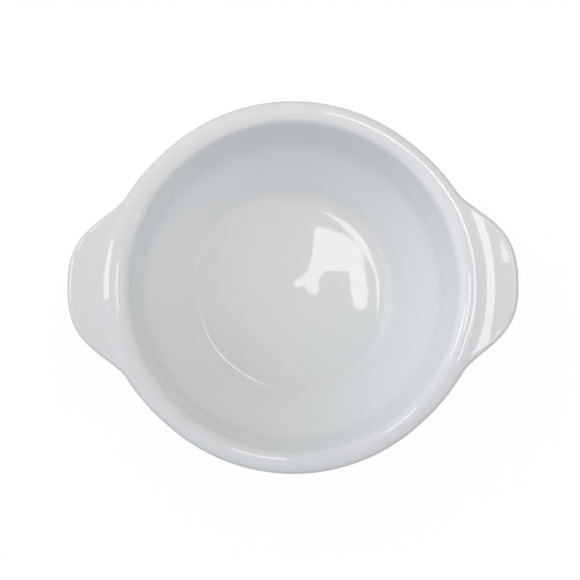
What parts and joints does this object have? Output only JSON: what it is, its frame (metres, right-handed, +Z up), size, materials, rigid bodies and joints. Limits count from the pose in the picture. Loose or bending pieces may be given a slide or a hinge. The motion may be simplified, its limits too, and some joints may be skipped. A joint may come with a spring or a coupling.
{
  "type": "bouillon cup",
  "caption": "Round white porcelain soup bowl with a bend in its wall, a thick rolled rim, solid flat lug handles at opposite sides and a foot ring. It holds hot broth.",
  "frame": {"origin": "centre of the plane that the foot ring stands on", "axes": "+Z up out of the bowl's mouth, +X through the middle of the right lug"},
  "size_m": [0.1448, 0.12, 0.052],
  "materials": {
    "glaze": "glossy clear glaze over white porcelain",
    "biscuit": "glazed at the sides, bare and ground flat where it stands"
  },
  "bodies": {
    "root": {"bowl": "glaze", "foot_ring": "biscuit", "lug_left": "glaze", "lug_right": "glaze"}
  },
  "joints": []
}
